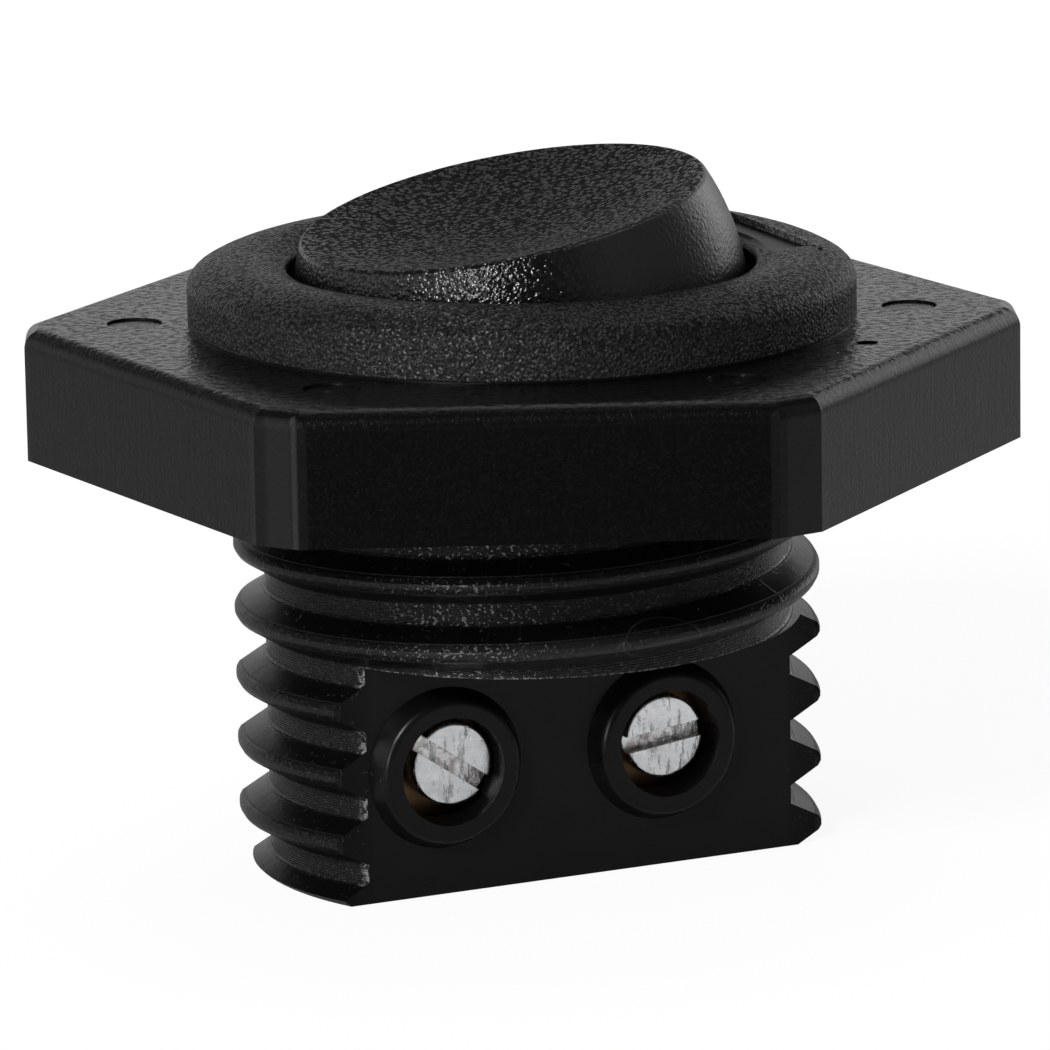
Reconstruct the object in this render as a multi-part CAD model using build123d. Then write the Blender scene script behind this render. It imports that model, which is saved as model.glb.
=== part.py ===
from build123d import *
import math
import os

# Round panel switch: a tilting dished cap in a domed bezel, a coarse-threaded barrel with two
# terminal flats, a moulded hexagon nut, and a two-pole see-saw contact set inside.
# Origin at the centre of the barrel's foot, +Z up the barrel, +X towards the cap's raised
# side, and the terminal flats facing -Y and +Y. All sizes are in millimetres and degrees.

# Barrel and its thread
thread_diameter = 28.0
thread_pitch = 3.2
thread_depth = 1.45
thread_crest_width = 0.55
thread_root_width = 0.9
thread_crest_chamfer = 0.15
thread_root_overlap = 0.25      # how deep the ridge is rooted in the barrel
thread_phase_height = 13.2      # height of a crest above the foot, on the front flat's centre line
barrel_length = 26.1            # foot to the underside of the bezel
foot_chamfer = 0.6

# Terminal flats and their screw bosses
flat_distance = 6.0             # barrel axis to each flat
flat_height = 11.4
boss_face_diameter = 6.85
boss_base_diameter = 7.8        # on the flat; the side is drafted
boss_rise = 1.0
boss_rounding = 0.4
boss_bore = 5.2
boss_height = 6.15              # foot to the boss centres
boss_outer_x = -7.05            # switched terminal, near the barrel's side
boss_inner_x = 4.2              # common terminal, near the middle

# Bezel
bezel_diameter = 31.75
bezel_wall_height = 1.65
bezel_crest_height = 3.1
bezel_crest_radius = 13.1
bezel_lip_drop = 0.45
bezel_lip_rounding = 0.35
bezel_shoulder_radius = 0.95
opening_diameter = 22.2
mark_length = 11.3              # straight field beside the opening, on the ON side
mark_far_x = 12.95
mark_depth = 0.3

# Tilting cap, in its level position about the tilt axis
tilt_axis_height = 0.17         # tilt axis above the bezel's underside
tilt_angle = 10.5               # each way from level
cap_gap = 0.25                  # between the cap's ball and the opening
cap_rim_height = 5.3
cap_rim_inset = 1.13             # rim circle inside the ball's radius
cap_rim_rounding = 0.3
cap_dish_depth = 1.3
cap_wall = 1.4
cap_skirt_depth = 2.0
cap_travel_room = 0.6
trunnion_radius = 1.25
trunnion_reach = 1.05           # past the ball into the bearing pocket
stem_width = 4.2
stem_wall = 0.7
stem_depth = 6.4
stem_overlap = 0.2              # how far the stem and trunnions run into the cap's wall
trunnion_clearance = 0.05
trunnion_end_room = 0.1

# Nut
nut_across_flats = 42.0
nut_across_corners = 47.2       # over the planed corners
nut_height = 6.3
nut_turn = -22.4                # its front flat from the barrel's front flat, about +Z
nut_top_rounding = 0.9
nut_lead_chamfer = 0.8
nut_thread_clearance = 0.15
pin_mark_diameter = 2.6
pin_mark_depth = 0.1
pin_mark_radius = 18.4
gate_pit_diameter = 1.0
gate_pit_depth = 0.35
gate_pit_radius = 17.9
gate_pit_turn = 61.7            # from the nut's front flat

# Inner chambers and the base cover
chamber_outer_x = -10.3
chamber_inner_x = 8.3
flat_wall = 1.0
pole_web = 0.8
web_top = 17.5
chamber_rounding = 0.6
cover_thickness = 1.5
cover_ledge = 0.4
cover_clearance = 0.1
wire_entry_diameter = 2.8
wire_entry_flare = 0.4
wire_collar_diameter = 4.8

# Terminal blocks and screws
block_length = 5.2
block_height = 5.6
block_side_clearance = 0.05
block_reach = 4.1               # barrel axis plane to the block's screw face
wire_hole_diameter = 2.4
wire_hole_back_wall = 0.45
outer_block_shift = 0.4         # the blocks lie a little off their boss centres
inner_block_shift = 0.15
block_chamfer = 0.4
block_lift = 0.1
screw_head_diameter = 4.0
screw_head_height = 1.0
screw_head_set_back = 1.0       # head below the boss face
screw_diameter = 2.9
screw_clearance = 0.05
screw_length = 3.0
screw_slot_width = 0.8
screw_slot_depth = 0.55
screw_head_rounding = 0.15
screw_tip_chamfer = 0.3
outer_slot_angle = -35.0
inner_slot_angle = 7.0

# Contact set, one for each pole
pole_offset = 2.4
strip_width = 3.0
strip_thickness = 0.7
strip_bend = 0.75
support_top = 14.4
support_reach = 1.2
riser_gap = 0.25
bridge_thickness = 0.6
bridge_vee = 8.0                # each arm's rise from the vee
bridge_bend = 0.9
bridge_outer_arm = 8.2
bridge_inner_arm = 4.6
bridge_clearance = 0.03
contact_radius = 7.0            # vee to contact tip
contact_tip_diameter = 2.4
contact_tip_height = 0.65
contact_tip_rounding = 0.39
strip_end_margin = 0.2          # strip past the tip that it carries
contact_closed_gap = 0.04

# Plungers and springs, carried in the cap's stem
plunger_radius = 1.1
plunger_clearance = 0.06
plunger_length = 6.2
plunger_swing_clearance = 0.05
spring_wire = 0.36
spring_turns = 6
spring_clearance = 0.12
spring_seat_gap = 0.05

# Values that follow
thread_radius = thread_diameter / 2
root_radius = thread_radius - thread_depth
bezel_base = barrel_length
tilt_axis_z = bezel_base + tilt_axis_height
opening_radius = opening_diameter / 2
cap_ball_radius = opening_radius - cap_gap
cap_drop = cap_skirt_depth + cap_ball_radius * math.sin(math.radians(tilt_angle))
cup_floor = tilt_axis_z - cap_drop - cap_travel_room
cap_rim_radius = cap_ball_radius - cap_rim_inset
boss_face = flat_distance + boss_rise
chamber_side = flat_distance - flat_wall
chamber_middle_x = (chamber_outer_x + chamber_inner_x) / 2
chamber_length = chamber_inner_x - chamber_outer_x
block_back = pole_web / 2 + block_side_clearance
block_z = boss_height + block_lift
block_top = block_z + block_height / 2
block_bottom = block_z - block_height / 2
wire_hole_y = block_back + wire_hole_back_wall + wire_hole_diameter / 2
outer_block_x = boss_outer_x + outer_block_shift
inner_block_x = boss_inner_x + inner_block_shift
bridge_axis_z = support_top + bridge_clearance + bridge_thickness / 2 + bridge_bend
arm_bottom_z = support_top + bridge_clearance
fixed_tip_top = arm_bottom_z - contact_tip_height - contact_closed_gap
plunger_arm = (
    tilt_axis_z - bridge_axis_z
    - (plunger_radius + plunger_swing_clearance - bridge_bend + bridge_thickness / 2)
    / math.cos(math.radians(bridge_vee))
)
stem_bore_radius = plunger_radius + plunger_clearance
cap_inner_ceiling = cap_rim_height - cap_dish_depth - cap_wall
boss_places = (boss_outer_x, boss_inner_x)
block_places = (outer_block_x, inner_block_x)
terminals = {
    "outer": (outer_block_x, outer_slot_angle),
    "inner": (inner_block_x, inner_slot_angle),
}
poles = {"front": -1, "rear": 1}


def span(x0, x1, y0, y1, z0, z1):
    """A block between two corners."""
    centre = ((x0 + x1) / 2, (y0 + y1) / 2, (z0 + z1) / 2)
    return Pos(*centre) * Box(abs(x1 - x0), abs(y1 - y0), abs(z1 - z0))


def rod(radius, x, z, y0, y1):
    """A round bar along Y."""
    bar = Cylinder(radius, abs(y1 - y0), rotation=(90, 0, 0))
    return Pos(x, (y0 + y1) / 2, z) * bar


def post(radius, x, y, z0, z1):
    """A round bar along Z."""
    return Pos(x, y, (z0 + z1) / 2) * Cylinder(radius, z1 - z0)


def cap_frame(turn):
    """The cap's own frame, turned about the tilt axis."""
    return Pos(0, 0, tilt_axis_z) * Rotation(0, turn, 0)


def thread_ridge():
    """The right-hand ridge, one eased trapezium run along a helix past both ends of the barrel."""
    base = thread_pitch - thread_root_width
    sink = thread_root_overlap
    sink_half = base / 2 + sink * (base - thread_crest_width) / 2 / thread_depth
    turns_down = math.ceil(thread_phase_height / thread_pitch) + 1
    start = thread_phase_height + thread_pitch / 4 - turns_down * thread_pitch
    path = Helix(thread_pitch, barrel_length - start + thread_pitch, root_radius, center=(0, 0, start))
    section = Plane(origin=(root_radius, 0, start), x_dir=(1, 0, 0), z_dir=(0, -1, 0))
    outline = Polyline(
        (-sink, -sink_half),
        (thread_depth, -thread_crest_width / 2),
        (thread_depth, thread_crest_width / 2),
        (-sink, sink_half),
        close=True,
    )
    profile = make_face(outline)
    crest = profile.vertices().group_by(Axis.X)[-1]
    profile = chamfer(crest, thread_crest_chamfer)
    ridge = sweep(section * profile, path, is_frenet=True)
    return ridge & post(thread_radius + 1, 0, 0, 0, barrel_length)


def bezel_ring():
    """The domed ring round the opening."""
    radius = bezel_diameter / 2
    shoulder = bezel_shoulder_radius
    crest = (bezel_crest_radius, bezel_base + bezel_crest_height)
    wall_top = (radius, bezel_base + bezel_wall_height)
    lip = (opening_radius + bezel_lip_rounding, crest[1] - bezel_lip_drop)
    lip_end = (opening_radius, lip[1] - bezel_lip_rounding)
    width = radius - bezel_crest_radius
    rise = bezel_crest_height - bezel_wall_height
    dome_radius = (width ** 2 + rise ** 2 - 2 * shoulder * width) / (2 * (rise - shoulder))
    lean = math.atan2(width - shoulder, dome_radius - rise)
    shoulder_end = (
        radius - shoulder + shoulder * math.sin(lean), wall_top[1] + shoulder * math.cos(lean)
    )
    inner_width = bezel_crest_radius - lip[0]
    inner_radius = (inner_width ** 2 + bezel_lip_drop ** 2) / (2 * bezel_lip_drop)
    outline = Curve() + [
        Line((opening_radius, bezel_base), (radius, bezel_base)),
        Line((radius, bezel_base), wall_top),
        RadiusArc(wall_top, shoulder_end, -shoulder),
        RadiusArc(shoulder_end, crest, -dome_radius),
        RadiusArc(crest, lip, -inner_radius),
        RadiusArc(lip, lip_end, -bezel_lip_rounding),
        Line(lip_end, (opening_radius, bezel_base)),
    ]
    return revolve(Plane.XZ * make_face(outline), Axis.Z)


def boss(x, side):
    """A round drafted collar that stands out of a flat, round its screw."""
    collar = Cone(boss_base_diameter / 2, boss_face_diameter / 2, boss_rise)
    collar = fillet(collar.edges().group_by(Axis.Z)[-1], boss_rounding)
    turn = Rotation(90, 0, 0) if side < 0 else Rotation(-90, 0, 0)
    return Pos(x, side * (flat_distance + boss_rise / 2), boss_height) * turn * collar


def chambers():
    """The hollow for the contacts: one pocket for each pole, joined above the web."""
    pocket_width = chamber_side - pole_web / 2
    outline = RectangleRounded(chamber_length, pocket_width, chamber_rounding)
    hall_outline = RectangleRounded(chamber_length, 2 * chamber_side, chamber_rounding)
    hollow = Pos(chamber_middle_x, 0, web_top) * extrude(hall_outline, cup_floor - web_top + 0.01)
    for side in poles.values():
        middle_y = side * (chamber_side + pole_web / 2) / 2
        hollow += Pos(chamber_middle_x, middle_y, 0) * extrude(outline, web_top + 0.01)
    return hollow


def cover_outline(clearance):
    """The base cover's outline, and its seat in the foot."""
    length = chamber_length + 2 * (cover_ledge - clearance)
    width = 2 * (chamber_side + cover_ledge - clearance)
    return Pos(chamber_middle_x, 0, 0) * RectangleRounded(length, width, chamber_rounding + cover_ledge)


def housing():
    """Bezel, threaded barrel, flats, bosses and chambers, moulded in one piece."""
    core = post(root_radius, 0, 0, 0, bezel_base + bezel_wall_height / 2)
    body = core + thread_ridge()
    reach = thread_radius + 2
    chamfer_cone = Pos(0, 0, foot_chamfer / 2) * Cone(
        thread_radius - foot_chamfer + 0.001, thread_radius + 0.001, foot_chamfer
    )
    body -= post(reach, 0, 0, 0, foot_chamfer) - chamfer_cone
    for side in poles.values():
        body -= span(-reach, reach, side * flat_distance, side * reach, -1, flat_height)
    for side in poles.values():
        for x in boss_places:
            body += boss(x, side)
    body += bezel_ring()
    body -= post(opening_radius, 0, 0, cup_floor, bezel_base + bezel_wall_height)
    body -= chambers()
    body -= extrude(cover_outline(0), cover_thickness)
    pocket = cap_ball_radius + trunnion_reach + trunnion_end_room
    body -= rod(trunnion_radius + trunnion_clearance, 0, tilt_axis_z, -pocket, pocket)
    for side in poles.values():
        for x in boss_places:
            body -= rod(boss_bore / 2, x, boss_height, side * block_reach, side * (boss_face + 1))
    field_floor = bezel_base + bezel_crest_height - mark_depth
    body -= span(
        opening_radius - 1, mark_far_x, -mark_length / 2, mark_length / 2,
        field_floor, bezel_base + bezel_crest_height + 1,
    )
    return body


def hex_nut():
    """Hexagon with planed corners, rounded top edge, ejector marks and a gate pit."""
    flats = RegularPolygon(nut_across_flats / 2, 6, major_radius=False, rotation=nut_turn)
    facets = RegularPolygon(nut_across_corners / 2, 6, major_radius=False, rotation=nut_turn + 30)
    nut = extrude(flats & facets, nut_height)
    nut = fillet(nut.edges().group_by(Axis.Z)[-1], nut_top_rounding)
    bore = thread_radius + nut_thread_clearance
    nut -= Cylinder(bore, 2 * nut_height + 1)
    lead = Cone(bore + nut_lead_chamfer, bore, nut_lead_chamfer)
    nut -= Pos(0, 0, nut_lead_chamfer / 2) * lead
    nut -= Pos(0, 0, nut_height - nut_lead_chamfer / 2) * Rotation(180, 0, 0) * lead
    mark = Cylinder(pin_mark_diameter / 2, 2 * pin_mark_depth)
    for place in PolarLocations(pin_mark_radius, 6, start_angle=nut_turn):
        nut -= Pos(0, 0, nut_height) * place * mark
    pit = Pos(gate_pit_radius, 0, nut_height) * Cylinder(gate_pit_diameter / 2, 2 * gate_pit_depth)
    nut -= Rotation(0, 0, nut_turn + gate_pit_turn - 90) * pit
    return Pos(0, 0, bezel_base - nut_height) * nut


def cap():
    """Dished cap with a rounded wall, trunnions, and a stem bored for the plungers."""
    rim = (cap_rim_radius, cap_rim_height)
    foot_radius = math.sqrt(cap_ball_radius ** 2 - cap_skirt_depth ** 2)
    inner_radius = cap_ball_radius - cap_wall
    inner_foot = math.sqrt(inner_radius ** 2 - cap_skirt_depth ** 2)
    ceiling_edge = math.sqrt(inner_radius ** 2 - cap_inner_ceiling ** 2)
    dish_bottom = cap_rim_height - cap_dish_depth
    outline = Curve() + [
        Line((0, cap_inner_ceiling), (0, dish_bottom)),
        ThreePointArc((-cap_rim_radius, cap_rim_height), (0, dish_bottom), rim).trim(0.5, 1),
        ThreePointArc(rim, (cap_ball_radius, 0), (foot_radius, -cap_skirt_depth)),
        Line((foot_radius, -cap_skirt_depth), (inner_foot, -cap_skirt_depth)),
        ThreePointArc((inner_foot, -cap_skirt_depth), (inner_radius, 0), (ceiling_edge, cap_inner_ceiling)),
        Line((ceiling_edge, cap_inner_ceiling), (0, cap_inner_ceiling)),
    ]
    shell = revolve(Plane.XZ * make_face(outline), Axis.Z)
    rim_edge = shell.edges().filter_by(GeomType.CIRCLE).sort_by(Axis.Z)[-1]
    shell = fillet(rim_edge, cap_rim_rounding)
    stem_half = pole_offset + stem_bore_radius + stem_wall
    stem_top = cap_inner_ceiling + stem_overlap
    shell += span(-stem_width / 2, stem_width / 2, -stem_half, stem_half, -stem_depth, stem_top)
    trunnion_root = cap_ball_radius - 2 * stem_overlap
    trunnion_end = cap_ball_radius + trunnion_reach
    for side in poles.values():
        shell += rod(trunnion_radius, 0, 0, side * trunnion_root, side * trunnion_end)
        shell -= post(stem_bore_radius, 0, side * pole_offset, -stem_depth - 1, cap_inner_ceiling)
    return cap_frame(-tilt_angle) * shell


def plunger(side):
    """Round-nosed pin that the spring presses onto the contact bridge."""
    nose = Sphere(plunger_radius)
    pin = nose + post(plunger_radius, 0, 0, 0, plunger_length)
    return cap_frame(-tilt_angle) * Pos(0, side * pole_offset, -plunger_arm) * pin


def plunger_spring(side):
    """Coil spring between the plunger and the closed end of its bore."""
    low = -plunger_arm + plunger_length + spring_seat_gap + spring_wire / 2
    high = cap_inner_ceiling - spring_seat_gap - spring_wire / 2
    coil_radius = stem_bore_radius - spring_clearance - spring_wire / 2
    path = Helix((high - low) / spring_turns, high - low, coil_radius)
    section = Plane(origin=path @ 0, z_dir=path % 0)
    coil = sweep(section * Circle(spring_wire / 2), path, is_frenet=True)
    return cap_frame(-tilt_angle) * Pos(0, side * pole_offset, low) * coil


def strip(points, side):
    """A bent brass strip, from the middle line of its bends in the XZ plane."""
    line = FilletPolyline(*points, radius=strip_bend)
    ribbon = Plane.XZ * trace(line, strip_thickness)
    return Pos(0, side * pole_offset + strip_width / 2, 0) * extrude(ribbon, strip_width)


def switched_strip(side):
    """From the outer terminal block up to the fixed contact."""
    half = strip_thickness / 2
    riser_x = chamber_outer_x + riser_gap + half
    foot_z = block_top + half
    arm_z = fixed_tip_top - contact_tip_height - half
    points = [
        (outer_block_x + block_length / 2, foot_z),
        (riser_x, foot_z),
        (riser_x, arm_z),
        (-contact_radius + contact_tip_diameter / 2 + strip_end_margin, arm_z),
    ]
    return strip(points, side)


def common_strip(side):
    """From the inner terminal block up to the seat that the bridge rocks on."""
    half = strip_thickness / 2
    riser_x = inner_block_x - block_length / 2 + half
    foot_z = block_top + half
    points = [
        (inner_block_x + block_length / 2, foot_z),
        (riser_x, foot_z),
        (riser_x, support_top - half),
        (-support_reach, support_top - half),
    ]
    return strip(points, side)


def bridge_frame(turn):
    """The bridge's own frame, turned about the axis of its vee."""
    return Pos(0, 0, bridge_axis_z) * Rotation(0, turn, 0)


def contact_bridge(side):
    """Shallow copper vee that rocks on the common strip."""
    rise = math.radians(bridge_vee)
    vee_z = -bridge_bend / math.cos(rise)
    line = FilletPolyline(
        (-bridge_outer_arm * math.cos(rise), vee_z + bridge_outer_arm * math.sin(rise)),
        (0, vee_z),
        (bridge_inner_arm * math.cos(rise), vee_z + bridge_inner_arm * math.sin(rise)),
        radius=bridge_bend,
    )
    ribbon = Plane.XZ * trace(line, bridge_thickness)
    vee = Pos(0, side * pole_offset + strip_width / 2, 0) * extrude(ribbon, strip_width)
    return bridge_frame(bridge_vee) * vee


def contact_tip():
    """Low silver dome on a round base, its flat back at the origin."""
    tip = Pos(0, 0, contact_tip_height / 2) * Cylinder(contact_tip_diameter / 2, contact_tip_height)
    return fillet(tip.edges().group_by(Axis.Z)[-1], contact_tip_rounding)


def moving_contact(side):
    """The tip under the bridge's outer arm, raised with it."""
    place = Pos(-contact_radius, side * pole_offset, arm_bottom_z - bridge_axis_z)
    return bridge_frame(2 * bridge_vee) * place * Rotation(180, 0, 0) * contact_tip()


def fixed_contact(side):
    """The tip on the switched strip."""
    return Pos(-contact_radius, side * pole_offset, fixed_tip_top - contact_tip_height) * contact_tip()


def terminal_block(x, side):
    """Brass block with an upright wire hole and a cross hole for its screw."""
    block = span(
        x - block_length / 2, x + block_length / 2, side * block_back, side * block_reach,
        block_bottom, block_top,
    )
    block = chamfer(block.edges().filter_by(Axis.Y), block_chamfer)
    block -= post(wire_hole_diameter / 2, x, side * wire_hole_y, block_bottom - 1, block_top + 1)
    screw_hole = screw_diameter / 2 + screw_clearance
    return block - rod(screw_hole, x, block_z, side * wire_hole_y, side * (block_reach + 1))


def terminal_screw(x, side, angle):
    """Slotted terminal screw, its head sunk in the boss."""
    face = boss_face - screw_head_set_back
    screw = Pos(0, 0, -screw_head_height / 2) * Cylinder(screw_head_diameter / 2, screw_head_height)
    screw = fillet(screw.edges().group_by(Axis.Z)[-1], screw_head_rounding)
    screw += post(screw_diameter / 2, 0, 0, -screw_length, -screw_head_height)
    screw = chamfer(screw.edges().group_by(Axis.Z)[0], screw_tip_chamfer)
    slot = Box(screw_head_diameter + 1, screw_slot_width, 2 * screw_slot_depth, rotation=(0, 0, angle))
    screw -= slot
    turn = Rotation(90, 0, 0) if side < 0 else Rotation(-90, 0, 0)
    return Pos(x, side * face, block_z) * turn * screw


def base_cover():
    """Plate that closes the foot, with a flared entry and a seat collar under each block."""
    cover = extrude(cover_outline(cover_clearance), cover_thickness)
    entry_radius = wire_entry_diameter / 2
    flare = Cone(entry_radius + wire_entry_flare, entry_radius, wire_entry_flare)
    for side in poles.values():
        y = side * wire_hole_y
        chamber = span(
            chamber_outer_x, chamber_inner_x, side * block_back, side * (chamber_side - cover_clearance),
            0, block_bottom,
        )
        for x in block_places:
            cover += post(wire_collar_diameter / 2, x, y, cover_thickness, block_bottom) & chamber
        for x in block_places:
            cover -= post(entry_radius, x, y, -1, block_bottom + 1)
            cover -= Pos(x, y, wire_entry_flare / 2) * flare
    return cover


nodes = {
    "housing": housing(),
    "hex_nut": hex_nut(),
    "cap": cap(),
    "base_cover": base_cover(),
}
for pole, side in poles.items():
    nodes[f"plunger_{pole}"] = plunger(side)
    nodes[f"plunger_spring_{pole}"] = plunger_spring(side)
    nodes[f"contact_bridge_{pole}"] = contact_bridge(side)
    nodes[f"moving_contact_{pole}"] = moving_contact(side)
    nodes[f"fixed_contact_{pole}"] = fixed_contact(side)
    nodes[f"switched_strip_{pole}"] = switched_strip(side)
    nodes[f"common_strip_{pole}"] = common_strip(side)
    for terminal, (block_x, angle) in terminals.items():
        nodes[f"terminal_block_{pole}_{terminal}"] = terminal_block(block_x, side)
        nodes[f"terminal_screw_{pole}_{terminal}"] = terminal_screw(block_x, side, angle)

os.makedirs("parts", exist_ok=True)
for name, solid in nodes.items():
    export_step(solid, f"parts/{name}.step")
    print(name, round(solid.volume, 2))
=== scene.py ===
import math

import bmesh
import bpy
from mathutils import Matrix, Vector


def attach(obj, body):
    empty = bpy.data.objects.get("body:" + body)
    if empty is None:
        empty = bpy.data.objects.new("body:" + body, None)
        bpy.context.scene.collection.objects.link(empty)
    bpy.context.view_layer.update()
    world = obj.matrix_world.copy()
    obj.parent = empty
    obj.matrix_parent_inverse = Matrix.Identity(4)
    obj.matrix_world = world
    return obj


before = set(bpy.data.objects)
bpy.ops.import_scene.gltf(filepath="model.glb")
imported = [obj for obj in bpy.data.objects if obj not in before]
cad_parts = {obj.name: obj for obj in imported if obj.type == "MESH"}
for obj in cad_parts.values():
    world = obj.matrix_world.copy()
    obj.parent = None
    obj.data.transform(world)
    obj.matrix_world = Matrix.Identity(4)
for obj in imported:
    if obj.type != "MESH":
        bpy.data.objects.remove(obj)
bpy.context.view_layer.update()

# Camera
# It stands where the photograph was taken from: in front and to the left of the terminal flat,
# a little above the switch and rolled by one degree, with a long lens.
MM = 0.001
view_target = Vector((0, 0, 18.16)) * MM
view_azimuth = math.radians(-24.16)
view_elevation = math.radians(12.712)
view_distance = 360.67 * MM
view_roll = math.radians(0.989)
view_drop = math.radians(0.36)
view_direction = Vector((
    math.sin(view_azimuth) * math.cos(view_elevation),
    -math.cos(view_azimuth) * math.cos(view_elevation),
    math.sin(view_elevation),
))
camera = bpy.data.objects.new("camera", bpy.data.cameras.new("camera"))
camera.data.sensor_width = 36
camera.data.lens = 259.2
camera.data.clip_start = 0.01
camera.data.clip_end = 10
camera_roll = Matrix.Rotation(-view_roll, 3, "Z")
camera_drop = Matrix.Rotation(-view_drop, 3, "X")
camera_turn = (-view_direction).to_track_quat("-Z", "Y").to_matrix() @ camera_roll @ camera_drop
camera_place = view_target + view_direction * view_distance
camera.matrix_world = Matrix.Translation(camera_place) @ camera_turn.to_4x4()
bpy.context.scene.collection.objects.link(camera)
bpy.context.scene.camera = camera
bpy.context.scene.view_settings.view_transform = "Standard"


# Floor, backdrop and light
# The switch stands on a pale floor in front of a white backdrop. Soft boxes to the left, to the
# right and overhead light it, and two small lamps to the left give the plastic its sparkle.
class Field:
    """A socket of a material: sums and products of fields add the Math nodes that work them out."""

    def __init__(self, tree, socket=None):
        self.tree = tree
        self.socket = socket

    def node(self, kind, inputs=None, settings=None, output=0):
        """Any other node, from its type, its settings, and its inputs' values or links."""
        made = self.tree.nodes.new(kind)
        for setting, value in (settings or {}).items():
            setattr(made, setting, value)
        for key, value in (inputs or {}).items():
            if isinstance(value, Field):
                self.tree.links.new(value.socket, made.inputs[key])
            else:
                made.inputs[key].default_value = value
        return Field(self.tree, made.outputs[output] if made.outputs else None)

    def maths(self, operation, *values):
        return self.node("ShaderNodeMath", dict(enumerate(values)), {"operation": operation})

    def __add__(self, other):
        return self.maths("ADD", self, other)

    def __radd__(self, other):
        return self.maths("ADD", other, self)

    def __sub__(self, other):
        return self.maths("SUBTRACT", self, other)

    def __rsub__(self, other):
        return self.maths("SUBTRACT", other, self)

    def __mul__(self, other):
        return self.maths("MULTIPLY", self, other)

    def __rmul__(self, other):
        return self.maths("MULTIPLY", other, self)

    def __truediv__(self, other):
        return self.maths("DIVIDE", self, other)

    def __abs__(self):
        return self.maths("ABSOLUTE", self)

    def rise(self, low, high):
        """0 at low and 1 at high, with a soft step between; a high under low turns it round."""
        return self.node(
            "ShaderNodeMapRange",
            {"Value": self, "From Min": low, "From Max": high},
            {"interpolation_type": "SMOOTHSTEP"},
        )

    def distance(self, point):
        """How far a place is from a point."""
        inputs = {0: self, 1: point}
        return self.node("ShaderNodeVectorMath", inputs, {"operation": "DISTANCE"}, "Value")

    def hypot(self, other):
        return self.maths("SQRT", self * self + other * other)


def mesh_object(name, shape, material):
    """A finished object from a bmesh."""
    bmesh.ops.recalc_face_normals(shape, faces=shape.faces)
    mesh = bpy.data.meshes.new(name)
    shape.to_mesh(mesh)
    shape.free()
    mesh.materials.append(material)
    made = bpy.data.objects.new(name, mesh)
    bpy.context.scene.collection.objects.link(made)
    return made


card_place = (-0.045, -0.12, 0)
card_radius = 0.04
card_fade = 0.095
card_bounce = 0.05
paint_bounce = 0.77
paint_seen = 0.8
glow_strength = 1.05
glow_seen = 0.87
shadow_reach = 0.06
shadow_fade = 0.13


def stage_paint(name, glossy_share):
    """Pale paint that the camera sees as nearly white, with the shadows kept faint.
    Its bounce is darker in front of the switch, as over a dark card."""
    paint = bpy.data.materials.new(name)
    paint.use_nodes = True
    paint.node_tree.nodes.clear()
    start = Field(paint.node_tree)
    seen = start.node("ShaderNodeLightPath", output="Is Camera Ray")
    mirrored = start.node("ShaderNodeLightPath", output="Is Glossy Ray")
    mirrored = mirrored + start.node("ShaderNodeLightPath", output="Is Transmission Ray")
    spot = start.node("ShaderNodeTexCoord", output="Object")
    off_card = spot.distance(card_place).rise(card_radius, card_fade)
    bounce = off_card * (paint_bounce - card_bounce) + card_bounce
    pale = seen.maths("MAXIMUM", seen * paint_seen, bounce)
    coat = start.node("ShaderNodeBsdfDiffuse", {"Color": pale})
    light = start.node("ShaderNodeEmission", {"Strength": glow_strength})
    off_shadow = spot.distance((0, 0, 0)).rise(shadow_reach, shadow_fade)
    share = seen * (off_shadow * (1 - glow_seen) + glow_seen) + mirrored * glossy_share
    shader = start.node("ShaderNodeMixShader", {0: share, 1: coat, 2: light})
    start.node("ShaderNodeOutputMaterial", {"Surface": shader})
    return paint


stage_reach = 1.2
floor_shape = bmesh.new()
bmesh.ops.create_circle(floor_shape, cap_ends=True, segments=96, radius=stage_reach)
floor = mesh_object("floor", floor_shape, stage_paint("floor_white", 0.0))

backdrop_height = 0.5
backdrop_sweep = math.radians(200)
backdrop_start = Matrix.Rotation(math.radians(-76), 3, "Z")
backdrop_shape = bmesh.new()
backdrop_foot = [
    backdrop_shape.verts.new((0, stage_reach, height)) for height in (0, backdrop_height)
]
backdrop_edge = backdrop_shape.edges.new(backdrop_foot)
bmesh.ops.spin(
    backdrop_shape, geom=[*backdrop_foot, backdrop_edge], cent=(0, 0, 0), axis=(0, 0, 1),
    angle=backdrop_sweep, steps=60, use_merge=False,
)
bmesh.ops.rotate(
    backdrop_shape, verts=backdrop_shape.verts, cent=(0, 0, 0), matrix=backdrop_start,
)
backdrop = mesh_object("backdrop", backdrop_shape, stage_paint("backdrop_white", 0.85))


def soft_box(name, azimuth, elevation, distance, width, radiance):
    """A square lamp that points at the switch, in degrees and metres. The azimuth is counted
    from the terminal flat's normal."""
    turn = math.radians(azimuth)
    lift = math.radians(elevation)
    level = math.cos(lift)
    place = Vector((math.sin(turn) * level, -math.cos(turn) * level, math.sin(lift)))
    lamp = bpy.data.lights.new(name, "AREA")
    lamp.shape = "SQUARE"
    lamp.size = width
    lamp.energy = radiance * math.pi * width ** 2
    holder = bpy.data.objects.new(name, lamp)
    aim = place.to_track_quat("Z", "Y").to_matrix().to_4x4()
    holder.matrix_world = Matrix.Translation(place * distance + view_target) @ aim
    bpy.context.scene.collection.objects.link(holder)


soft_box("overhead_box", 150, 70, 0.9, 0.7, 1.6)
soft_box("left_box", -100, 22, 0.8, 0.5, 0.6)
soft_box("right_box", 112, 17, 0.8, 0.45, 1.4)
soft_box("sparkle_lamp", -51, 34, 0.7, 0.14, 60)
soft_box("low_lamp", -51, 6, 0.7, 0.1, 40)

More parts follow.
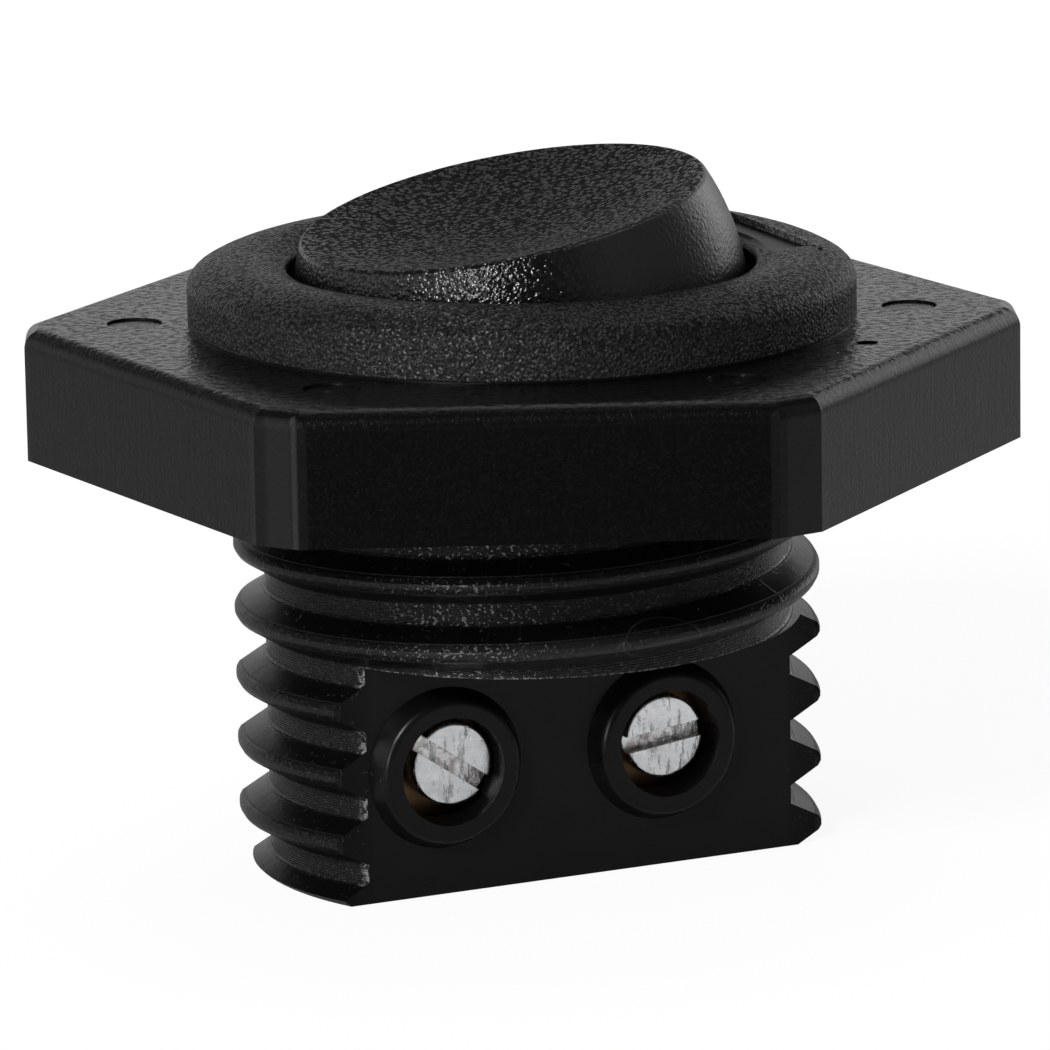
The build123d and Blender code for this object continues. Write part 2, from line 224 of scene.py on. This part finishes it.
sky_bounce = 0.16
world = bpy.data.worlds.new("studio")
world.use_nodes = True
world.node_tree.nodes.clear()
sky = Field(world.node_tree)
sky_seen = sky.node("ShaderNodeLightPath", output="Is Camera Ray")
sky_strength = sky_seen * (1 - sky_bounce) + sky_bounce
sky_light = sky.node("ShaderNodeBackground", {"Strength": sky_strength})
sky.node("ShaderNodeOutputWorld", {"Surface": sky_light})
bpy.context.scene.world = world


# Housing
# The bezel, the threaded barrel, the two terminal flats and their bosses are one moulding in
# black polyamide. The bezel is spark-textured, and the barrel is smooth with its mould seams.
def field_start(name):
    """A new material and the place on its surface in millimetres."""
    finish = bpy.data.materials.new(name)
    finish.use_nodes = True
    finish.node_tree.nodes.clear()
    start = Field(finish.node_tree)
    place = start.node("ShaderNodeTexCoord", output="Object")
    place = start.node("ShaderNodeVectorMath", {0: place, "Scale": 1 / MM}, {"operation": "SCALE"})
    return finish, place


def axis_of(place, axis):
    return place.node("ShaderNodeSeparateXYZ", {0: place}, output=axis)


def noise(place, scale, detail=2.0, roughness=0.5, stretch=(1, 1, 1)):
    """Noise from 0 to 1, with scale in cells per millimetre."""
    moved = place.node("ShaderNodeVectorMath", {0: place, 1: stretch}, {"operation": "MULTIPLY"})
    return place.node(
        "ShaderNodeTexNoise",
        {"Vector": moved, "Scale": scale, "Detail": detail, "Roughness": roughness}, output=0,
    )


def pebbles(place, scale):
    """Rounded pebbles from 0 in the hollows to 1 on top, with scale in pebbles per millimetre."""
    cells = {"Vector": place, "Scale": scale}
    distance = place.node("ShaderNodeTexVoronoi", cells, output="Distance")
    return 1 - distance.rise(0.1, 0.75)


def blend_colour(amount, low, high):
    """A colour between low and high, each of them a plain colour or a field."""
    low, high = (end if isinstance(end, Field) else (*end, 1) for end in (low, high))
    inputs = {0: amount, 6: low, 7: high}
    return amount.node("ShaderNodeMix", inputs, {"data_type": "RGBA"}, output=2)


# The black of the painted shade.
shade_black = (0.0012, 0.0012, 0.0012)


def finish_surface(finish, colour, roughness, height, metallic=0.0, specular=0.5, painted_shade=None):
    """Joins the worked-out fields to the principled shader, with heights in millimetres.
    Where the painted-shade mask is 1, a dull black shader paints shade: in the grain's hollows, and
    on faces and fields that are to look darker."""
    start = Field(finish.node_tree)
    bump = start.node("ShaderNodeBump", {"Height": height, "Distance": MM, "Strength": 1.0})
    shader = start.node("ShaderNodeBsdfPrincipled", {
        "Base Color": colour, "Roughness": roughness, "Metallic": metallic,
        "Specular IOR Level": specular, "Normal": bump,
    })
    if painted_shade is not None:
        shade = start.node("ShaderNodeBsdfPrincipled", {
            "Base Color": (*shade_black, 1), "Roughness": 0.9, "Specular IOR Level": 0.0,
        })
        shader = start.node("ShaderNodeMixShader", {0: painted_shade, 1: shader, 2: shade})
    start.node("ShaderNodeOutputMaterial", {"Surface": shader})


def dress(node, finish):
    """Gives a CAD node its material."""
    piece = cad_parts[node]
    piece.data.materials.clear()
    piece.data.materials.append(finish)


black_deep = (0.0016, 0.0016, 0.0017)
# The paler black serves both wear and painted light.
black_wear_and_light = (0.03, 0.03, 0.031)
# This light grey paints highlights on the housing.
highlight_grey = (0.22, 0.22, 0.225)
plastic_gloss = 0.17

bezel_foot = 26.1
opening_radius = 11.1
mark_near = 11.0
mark_far = 12.9
mark_half = 5.65
mark_height = 28.75
flat_distance = 6.0
flat_height = 11.4
thread_pitch = 3.2
thread_phase_height = 13.2
thread_root_radius = 12.55
thread_radius = 14.0
lines_per_pitch = 26

housing_black, place = field_start("housing_black")
x, y, z = (axis_of(place, axis) for axis in "XYZ")
radius = x.hypot(y)
turn = place.maths("ARCTAN2", x, y * -1)

# The bezel's spark texture, and the bare marking field with a painted highlight along its far edge.
on_bezel = (
    z.rise(bezel_foot + 0.05, bezel_foot + 0.15)
    * radius.rise(opening_radius - 0.1, opening_radius + 0.1)
)
above_mark = z.rise(mark_height - 0.05, mark_height + 0.05)
in_mark = (
    x.rise(mark_near - 0.05, mark_near + 0.05) * x.rise(mark_far + 0.03, mark_far - 0.02)
    * abs(y).rise(mark_half + 0.05, mark_half - 0.05) * above_mark
)
far_edge_highlight = (
    x.rise(mark_far - 0.02, mark_far + 0.03) * x.rise(mark_far + 0.26, mark_far + 0.18)
    * abs(y).rise(mark_half, mark_half - 0.1) * above_mark
)
textured = on_bezel * (1 - in_mark)
spark_cells = pebbles(place, 5.2)
spark_grit = noise(place, 8.0, 2.0, 0.65)
spark_grain = spark_cells * 0.035 + spark_grit * 0.06

# The thread's crests and roots: the roots keep fine lines from the mould's cutter.
climb = (z - thread_phase_height) / thread_pitch - turn / (2 * math.pi)
from_crest = place.maths("PINGPONG", climb + 100, 0.5) * thread_pitch
root_lines = place.maths("SINE", climb * (2 * math.pi * lines_per_pitch))
off_flat = z.maths(
    "MAXIMUM", z.rise(flat_height, flat_height + 0.05),
    abs(y).rise(flat_distance - 0.02, flat_distance - 0.06),
)
in_root = (
    off_flat * radius.rise(thread_root_radius + 0.25, thread_root_radius + 0.1)
    * radius.rise(thread_root_radius - 0.25, thread_root_radius - 0.15)
)
on_crest = radius.rise(thread_radius - 0.32, thread_radius - 0.26)
on_barrel = (
    z.rise(bezel_foot, bezel_foot - 0.05)
    * radius.rise(thread_root_radius - 0.25, thread_root_radius - 0.05)
)

# Mould seams down the barrel, and the oval witness line of a core pin.
seam_turns = [math.radians(angle) for angle in (-99.0, -32.0, -25.6, 34.5, 148.0)]
seams = sum((abs(turn - seam) * thread_radius).rise(0.07, 0.02) for seam in seam_turns)
witness_turn = math.radians(2.6)
witness_height = 13.1
witness_half_width = 2.0
witness_flatness = 2.1
witness_across = (turn - witness_turn) * thread_radius
witness_up = (z - witness_height) * witness_flatness
witness_reach = witness_across.hypot(witness_up)
witness = abs(witness_reach - witness_half_width).rise(0.09, 0.03) * y.rise(-11.0, -12.0)

# Flow marks, dust, painted glint dots that are strongest round one side, the burr left where the
# flats cut the roots with a painted sparkle, and scuffs.
highlight_turn = -0.66
flow = noise(place, 0.35, 2.0, 0.5, (1, 1, 2.5))
orange_peel = noise(place, 1.6, 2.0, 0.5)
dust = noise(place, 3.2, 1.0, 0.6).rise(0.68, 0.72)
highlight_zone = abs(turn - highlight_turn).rise(0.4, 0.12) * 0.85 + 0.15
painted_glints = noise(place, 6.5, 1.0, 0.6).rise(0.6, 0.67) * highlight_zone
burr_sparkles = (
    in_root * z.rise(flat_height + 0.1, flat_height)
    * abs(y).rise(flat_distance - 0.6, flat_distance - 0.1) * noise(place, 5.0).rise(0.42, 0.6)
)
scuffs = noise(place, 4.5, 2.0, 0.7).rise(0.5, 0.75)

height = (
    textured * spark_grain
    + on_barrel * in_root * (root_lines * 0.016 + scuffs * 0.04)
    + on_barrel * on_crest * (scuffs * 0.02 - from_crest * from_crest * 0.9)
    + on_barrel * (seams * 0.03 + witness * 0.03 + dust * 0.02)
    + (1 - on_bezel) * (orange_peel * 0.012 + noise(place, 7.0) * 0.003)
)
# Painted light: the bezel is painted paler below its shoulder, and the barrel's crests and roots
# paler, standing in for their sparkle and highlights. The witness line, seams, dust and flow marks
# are the plastic's own tone.
wear_and_painted_light = (
    textured * (spark_grit.rise(0.3, 0.7) * 0.5 + z.rise(28.3, 27.2) * 0.3 + 0.12)
    + on_barrel * (witness * 0.5 + seams * 0.08 + dust * 0.5 + on_crest * 0.3 + in_root * 0.3)
    + flow * 0.08
)
# Painted highlights in light grey: the marking field's far edge, glints on the bezel, crests and
# roots, and the sparkle of the burrs.
painted_highlights = (
    far_edge_highlight * 0.6 + painted_glints * (textured * 0.7 + on_barrel * (on_crest * 0.6 + in_root)) + burr_sparkles
)
colour = blend_colour(painted_highlights, blend_colour(wear_and_painted_light, black_deep, black_wear_and_light), highlight_grey)
roughness = textured * 0.04 - in_mark * 0.06 + flow * 0.1 + 0.24
# Painted shade from the dull black shader: in the grain's hollows, more towards the top of the
# bezel, over the whole marking field, and on the barrel's left and right sides.
painted_shade = (
    textured * (spark_cells * 0.5 + spark_grit).rise(1.05, 0.35) * (z.rise(27.6, 28.8) * 0.2 + 0.6)
    + in_mark * 0.6 + on_barrel * abs(x).rise(9.5, 13.5) * 0.4
)
finish_surface(housing_black, colour, roughness, height, specular=plastic_gloss, painted_shade=painted_shade)
dress("housing", housing_black)

# The small moulded pip beside the marking field.
pip_place = Vector((12.8, -6.0, 29.0)) * MM
pip_radius = 0.16 * MM
pip_shape = bmesh.new()
bmesh.ops.create_uvsphere(pip_shape, u_segments=20, v_segments=12, radius=pip_radius)
bmesh.ops.translate(pip_shape, verts=pip_shape.verts, vec=pip_place)
pip = mesh_object("bezel_pip", pip_shape, housing_black)
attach(pip, "housing")


# Hexagon nut
# The panel nut is moulded in the same black plastic, with a leathery top, drawn sides, six
# ejector marks and a gate scar. Its thread runs in the barrel's groove.
nut_turn = math.radians(-22.4)
nut_top = 26.1
nut_height = 6.3
facet_distance = 21.0
corner_distance = 23.4
black_moulded = (0.0008, 0.0008, 0.0009)

nut_black, place = field_start("nut_black")
x, y, z = (axis_of(place, axis) for axis in "XYZ")
on_top = z.rise(nut_top - 0.25, nut_top - 0.02)
leather = noise(place, 2.6, 3.0, 0.6)
drawn = noise(place, 3.4, 2.0, 0.6, (1, 1, 0.12))
speckle = noise(place, 5.5, 2.0, 0.7).rise(0.48, 0.72)

# The front and left facets, which get painted shade, the corner facets, which are painted paler,
# and a painted highlight along the edge beside the front facet.
left_turn = nut_turn - math.radians(60)
facing = x * math.sin(nut_turn) - y * math.cos(nut_turn)
facing_left = x * math.sin(left_turn) - y * math.cos(left_turn)
aside = x * math.cos(nut_turn) + y * math.sin(nut_turn)
on_front = (
    facing.rise(facet_distance - 0.3, facet_distance - 0.15) * abs(aside).rise(11.3, 11.1)
)
on_left = facing_left.rise(facet_distance - 0.4, facet_distance - 0.2)
corner_highlight = (
    facing.rise(facet_distance - 0.5, facet_distance - 0.3) * abs(aside + 11.0).rise(0.16, 0.06)
)

# The gate scar, and the ejector marks: a sunk ring with a light tick at each corner.
gate_turn = nut_turn - math.radians(36.2)
gate_distance = 18.0
gate_place = (gate_distance * math.cos(gate_turn), gate_distance * math.sin(gate_turn), nut_top)
gate_scar = place.distance(gate_place).rise(0.34, 0.24)
pin_distance = 18.4
pin_radius = 1.28
radius = x.hypot(y)
corner_turn = place.maths("ARCTAN2", y, x) - nut_turn
sector = place.maths("WRAP", corner_turn, math.pi / 6, -math.pi / 6)
corner_out = radius * place.maths("COSINE", sector)
on_corner = corner_out.rise(corner_distance - 0.05, corner_distance + 0.05)
pin_out = corner_out - pin_distance
pin_side = radius * place.maths("SINE", sector)
pin_ring = abs(pin_out.hypot(pin_side) - pin_radius).rise(0.08, 0.03)
pin_tick = abs(pin_out - 0.25).rise(0.22, 0.12) * abs(pin_side + 0.1).rise(0.12, 0.06)

height = (
    on_top * (leather * 0.07 - pin_ring * 0.05)
    + (1 - on_top) * (drawn * 0.01 + speckle * 0.006) - gate_scar * 0.1
)
# Painted light: the corner facets are painted paler, and the line beside the front facet is a
# painted highlight. The speckle, the ejector rings and their ticks are moulded tone.
wear_and_painted_light = (
    (1 - on_top) * (speckle * (on_front * 0.06 + 0.02) + on_corner * 0.2 + corner_highlight * 0.7)
    + on_top * (pin_ring * 0.3 + pin_tick * 1.2) + noise(place, 0.2) * 0.04
)
colour = blend_colour(wear_and_painted_light, black_moulded, black_wear_and_light)
roughness = 0.25 - on_top * 0.03 + noise(place, 0.5) * 0.05
# Painted shade: in the leather's hollows and the ejector rings, and over the whole front and left
# facets.
painted_shade = (
    on_top * (leather.rise(0.55, 0.36) * 0.5 + pin_ring * 0.5)
    + (1 - on_top) * (on_left + on_front) * 0.3
)
finish_surface(nut_black, colour, roughness, height, specular=plastic_gloss, painted_shade=painted_shade)
dress("hex_nut", nut_black)

# The nut's own thread, a ridge that keeps clear of the barrel's groove.
ridge_foot_radius = 14.4
ridge_tip_radius = 12.8
ridge_foot_half = 1.3
ridge_tip_half = 0.42
ridge_low = nut_top - nut_height + 1.2
ridge_turns = 1.2
ridge_steps = 120
ridge_climb = (ridge_low - thread_phase_height - thread_pitch / 2) / thread_pitch
ridge_start = math.radians(-90) + ridge_climb * 2 * math.pi
ridge_out = Vector((math.cos(ridge_start), math.sin(ridge_start), 0))
ridge_shape = bmesh.new()
ridge_corners = [
    ridge_shape.verts.new((ridge_out * reach + Vector((0, 0, ridge_low + up))) * MM)
    for reach, up in (
        (ridge_foot_radius, -ridge_foot_half), (ridge_tip_radius, -ridge_tip_half),
        (ridge_tip_radius, ridge_tip_half), (ridge_foot_radius, ridge_foot_half),
    )
]
ridge_end = ridge_shape.faces.new(ridge_corners)
bmesh.ops.spin(
    ridge_shape, geom=[ridge_end], cent=(0, 0, 0), axis=(0, 0, 1),
    angle=ridge_turns * 2 * math.pi, steps=ridge_steps, use_merge=False,
    dvec=(0, 0, thread_pitch * MM * ridge_turns / ridge_steps),
)
ridge = mesh_object("nut_thread", ridge_shape, nut_black)
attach(ridge, "nut")


# Base cover
# A flat plate in the same plastic, pressed into the foot to close the contact chambers. It has a
# flared wire entry under each terminal block.
black_lit = (0.005, 0.005, 0.0052)
cover_black, place = field_start("cover_black")
height = noise(place, 3.0, 3.0, 0.6) * 0.03
roughness = noise(place, 0.6) * 0.1 + 0.42
colour = blend_colour(noise(place, 0.8), black_deep, black_lit)
finish_surface(cover_black, colour, roughness, height, specular=plastic_gloss)
dress("base_cover", cover_black)


# Terminal blocks
# Each terminal is a short length of drawn brass bar, with a wire hole from below and a cross hole
# for its screw. They drop into the chambers before the cover goes on.
def metal(name, low, high, roughness_low, roughness_span, streak, depth=0.006):
    """Drawn or rolled metal with streaks along its own length."""
    finish, place = field_start(name)
    streaks = noise(place, 3.0, 4.0, 0.6, streak)
    blotches = noise(place, 0.7, 2.0)
    colour = blend_colour(streaks * 0.5 + blotches * 0.5, low, high)
    roughness = blotches * roughness_span + roughness_low
    finish_surface(finish, colour, roughness, streaks * depth, metallic=1.0)
    return finish


brass = metal("brass", (0.1, 0.06, 0.03), (0.34, 0.22, 0.11), 0.3, 0.2, (0.2, 1, 1))
for pole in ("front", "rear"):
    dress(f"terminal_block_{pole}_outer", brass)
    dress(f"terminal_block_{pole}_inner", brass)


# Strips
# The switched strip runs from the outer block up to the fixed contact, and the common strip from
# the inner block up to the seat that the bridge rocks on. Both are folded from sheet brass.
strip_brass = metal("strip_brass", (0.5, 0.33, 0.12), (0.78, 0.58, 0.26), 0.2, 0.15, (1, 0.15, 1))
for pole in ("front", "rear"):
    dress(f"switched_strip_{pole}", strip_brass)
    dress(f"common_strip_{pole}", strip_brass)


# Contacts
# Low silver domes: the fixed ones are riveted to the switched strips and the moving ones to the
# bridges' outer arms. They are a little tarnished.
silver = metal("contact_silver", (0.55, 0.53, 0.5), (0.86, 0.85, 0.82), 0.16, 0.2, (1, 1, 1), 0.003)
for pole in ("front", "rear"):
    dress(f"fixed_contact_{pole}", silver)
    dress(f"moving_contact_{pole}", silver)


# Contact bridges
# Shallow vees of hard copper strip that rock on the common strips' seats and carry the moving
# contacts.
copper = metal("copper_strip", (0.5, 0.2, 0.1), (0.82, 0.42, 0.26), 0.2, 0.18, (0.15, 1, 1))
for pole in ("front", "rear"):
    dress(f"contact_bridge_{pole}", copper)


# Terminal screws
# Slotted cheese-head screws in zinc-plated steel. Their heads sit below the boss faces and are
# scratched round the slots by the screwdriver.
zinc_dull = (0.2, 0.205, 0.21)
zinc_bright = (0.95, 0.96, 0.98)
rust = (0.16, 0.09, 0.05)
slot_floor = 5.9
zinc, place = field_start("zinc_plated")
y = axis_of(place, "Y")
brushed = noise(place, 5.0, 4.0, 0.75, (0.3, 1, 1))
scratches = noise(place, 1.6, 5.0, 0.8, (1, 1, 0.22)).rise(0.52, 0.66)
blotches = noise(place, 1.3, 2.0)
in_slot = abs(y).rise(slot_floor + 0.05, slot_floor - 0.05)
tarnish = in_slot * noise(place, 1.8, 3.0, 0.6).rise(0.4, 0.62)
height = brushed * 0.012 - scratches * 0.02 + in_slot * noise(place, 4.0, 3.0) * 0.03
bright = brushed * 0.6 + blotches * 0.8 + 0.1 - scratches * 0.4
colour = blend_colour(tarnish * 0.6, blend_colour(bright, zinc_dull, zinc_bright), rust)
finish_surface(zinc, colour, blotches * 0.25 + 0.12, height, metallic=1.0)
for pole in ("front", "rear"):
    dress(f"terminal_screw_{pole}_outer", zinc)
    dress(f"terminal_screw_{pole}_inner", zinc)


# Plungers
# Round-nosed pins in natural white nylon. They slide in the bores of the cap's stem, and their
# noses push the bridges over when the cap tilts.
nylon, place = field_start("plunger_white")
colour = blend_colour(noise(place, 0.9), (0.62, 0.6, 0.53), (0.78, 0.76, 0.7))
roughness = noise(place, 1.4) * 0.1 + 0.4
finish_surface(nylon, colour, roughness, noise(place, 5.0, 3.0) * 0.008, specular=0.4)
for pole in ("front", "rear"):
    dress(f"plunger_{pole}", nylon)


# Plunger springs
# Coil springs of bright drawn steel wire, one between each plunger and the closed end of its
# bore. They keep the plungers pressed on the bridges.
spring_steel = metal(
    "spring_steel", (0.4, 0.4, 0.41), (0.68, 0.68, 0.69), 0.22, 0.12, (1, 1, 0.4), 0.003,
)
for pole in ("front", "rear"):
    dress(f"plunger_spring_{pole}", spring_steel)


# Cap
# The dished cap tilts on two trunnions in the housing. It is moulded in glossy black plastic,
# with a pebbled grain on its dish and a finer, brighter one round its ball-shaped wall.
tilt_axis = Vector((0, 0, 26.27))
cap_tilt = math.radians(-10.5)
dish_radius = 9.72
dish_foot = 3.5
cap_gloss = plastic_gloss * 2.4

cap_black, place = field_start("cap_black")
level_shift = Matrix.Rotation(-cap_tilt, 3, "Y") @ tilt_axis
level = place.node(
    "ShaderNodeMapping",
    {"Vector": place, "Location": -level_shift, "Rotation": (0, -cap_tilt, 0)},
)
across, along, above = (axis_of(level, axis) for axis in "XYZ")
on_dish = (
    across.hypot(along).rise(dish_radius + 0.02, dish_radius - 0.12)
    * above.rise(dish_foot - 0.1, dish_foot + 0.1)
)
dish_cells = pebbles(level, 4.0)
dish_grit = noise(level, 6.5, 2.0, 0.65)

# The wall's grain is deep and glossy at the left, and worn smooth at the right and the far end.
wall_cells = pebbles(level, 4.4) * 0.5 + noise(level, 5.0, 2.0, 0.6)
wall_smooth = across.rise(-3.4, 1.5)
wall_end = across.rise(-7.6, -9.0)
wall_right = across.rise(5.0, 9.5)

height = (
    on_dish * (dish_cells * 0.06 + dish_grit * 0.09)
    + (1 - on_dish) * wall_cells * (0.048 - wall_smooth * 0.03 - wall_end * 0.02)
)
# The wall is painted paler from the middle to the right, a painted sheen; the noise is random tone.
wear_and_painted_light = noise(level, 0.3) * 0.1 + (1 - on_dish) * wall_smooth * 0.3
colour = blend_colour(wear_and_painted_light, black_deep, black_wear_and_light)
roughness = (
    on_dish * 0.22 + (1 - on_dish) * (wall_smooth + wall_end) * 0.24 + noise(level, 0.8) * 0.04
    + 0.05
)
# Painted shade: in the dish grain's hollows, at the right end of the wall, and in the hollows of
# the wall's grain at the left.
wall_shade = wall_right * 0.35 + (1 - wall_smooth) * wall_cells.rise(0.7, 0.5) * 0.5
painted_shade = (
    on_dish * (dish_cells * 0.5 + dish_grit).rise(0.98, 0.5) * 0.85 + (1 - on_dish) * wall_shade
)
finish_surface(cap_black, colour, roughness, height, specular=cap_gloss, painted_shade=painted_shade)
dress("cap", cap_black)
